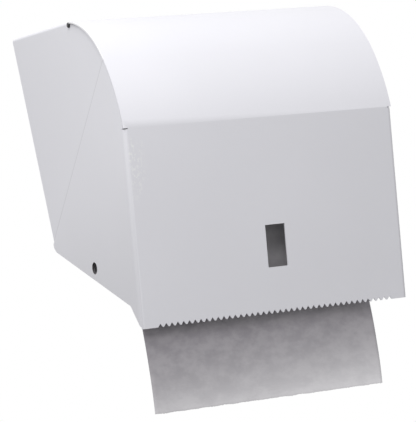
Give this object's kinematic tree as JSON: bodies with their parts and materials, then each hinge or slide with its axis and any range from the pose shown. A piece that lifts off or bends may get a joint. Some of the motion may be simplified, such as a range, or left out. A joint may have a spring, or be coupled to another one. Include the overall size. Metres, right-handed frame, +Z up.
{
  "type": "wall-mounted paper towel dispenser",
  "caption": "Wall-mounted steel dispenser for a roll of paper towel, with a lift-up cover, a toothed tear edge, a small window, a sprung roll arm and push-pin latches.",
  "frame": {"origin": "centre of the four wall screw holes, on the face that lies on the wall", "axes": "+Y into the wall, so -Y is the front with the cover; +X to the right as seen from the front, along the roll; +Z up"},
  "size_m": [0.235, 0.1799, 0.3513],
  "materials": {
    "grey_coat": "satin",
    "black_steel": "satin",
    "zinc": "satin",
    "bright_steel": "polished",
    "spring_steel": "satin",
    "dark_plastic": "matte",
    "black_rubber": "matte",
    "grey_board": "matte",
    "towel_paper": "matte"
  },
  "bodies": {
    "case": {"rear_case": "grey_coat", "case_floor": "grey_coat", "hinge_rod": "black_steel", "roll_hub_left": "zinc", "arm_bracket": "zinc", "arm_pivot_pin": "bright_steel", "arm_spring": "spring_steel", "buffer_left": "black_rubber", "buffer_right": "black_rubber", "latch_bracket_left": "zinc", "latch_bracket_right": "zinc", "latch_spring_left": "spring_steel", "latch_spring_right": "spring_steel", "paper_tail": "towel_paper"},
    "cover": {"front_cover": "grey_coat"},
    "roll": {"paper_roll": "towel_paper", "roll_core": "grey_board"},
    "arm": {"roll_arm_right": "zinc", "roll_hub_right": "dark_plastic", "hub_rivet_right": "bright_steel"},
    "latch_pin_left": {"latch_plunger_left": "black_steel"},
    "latch_pin_right": {"latch_plunger_right": "black_steel"}
  },
  "joints": [
    {"name": "cover_hinge", "type": "hinge", "parent": "case", "child": "cover", "pos_m": [0, -0.11861, 0.0546], "axis": [-1, 0, 0], "range_deg": [0, 110]},
    {"name": "roll_spin", "type": "hinge", "parent": "case", "child": "roll", "pos_m": [-0.0131, -0.086, -0.021], "axis": [1, 0, 0], "continuous": true},
    {"name": "arm_swing", "type": "hinge", "parent": "case", "child": "arm", "pos_m": [0.09295, -0.0107, -0.021], "axis": [0, 0, 1], "range_deg": [0, 11], "stiffness_Nm_per_rad": 0.15, "springref_deg": -20.05},
    {"name": "latch_left_slide", "type": "slide", "parent": "case", "child": "latch_pin_left", "axis": [-1, 0, 0], "range_m": [0, 0.0019], "stiffness_N_per_m": 300, "springref_m": 0.004, "deforming": ["latch_spring_left"]},
    {"name": "latch_right_slide", "type": "slide", "parent": "case", "child": "latch_pin_right", "axis": [1, 0, 0], "range_m": [0, 0.0019], "stiffness_N_per_m": 300, "springref_m": 0.004, "deforming": ["latch_spring_right"]}
  ]
}
